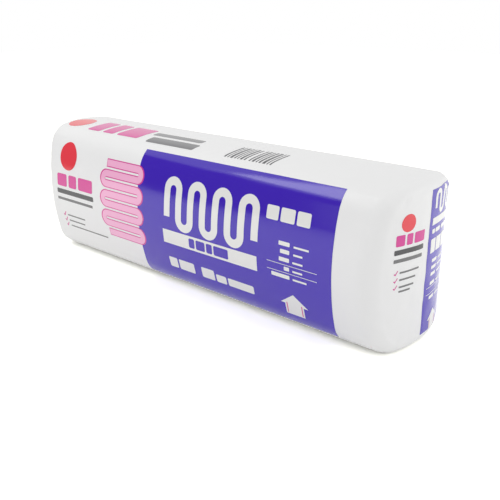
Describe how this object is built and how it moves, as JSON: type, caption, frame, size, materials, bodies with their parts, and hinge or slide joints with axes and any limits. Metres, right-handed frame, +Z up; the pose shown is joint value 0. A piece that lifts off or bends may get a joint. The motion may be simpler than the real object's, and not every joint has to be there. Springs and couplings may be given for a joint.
{
  "type": "bag of fiberglass insulation batts",
  "caption": "Sealed plastic-film bag of fiberglass insulation batts, packed tight, lying on its long side, with bulging faces and rounded edges.",
  "frame": {"origin": "middle of the bag's flat underside, at floor level", "axes": "+X along the bag towards the printed end, -Y towards the printed front, +Z up"},
  "size_m": [1.2158, 0.329, 0.381],
  "materials": {
    "film": "glossy white polyethylene film with printed colour areas",
    "fiberglass": "soft matte glass wool"
  },
  "bodies": {
    "root": {"film_bag": "film", "batts": "fiberglass"}
  },
  "joints": []
}
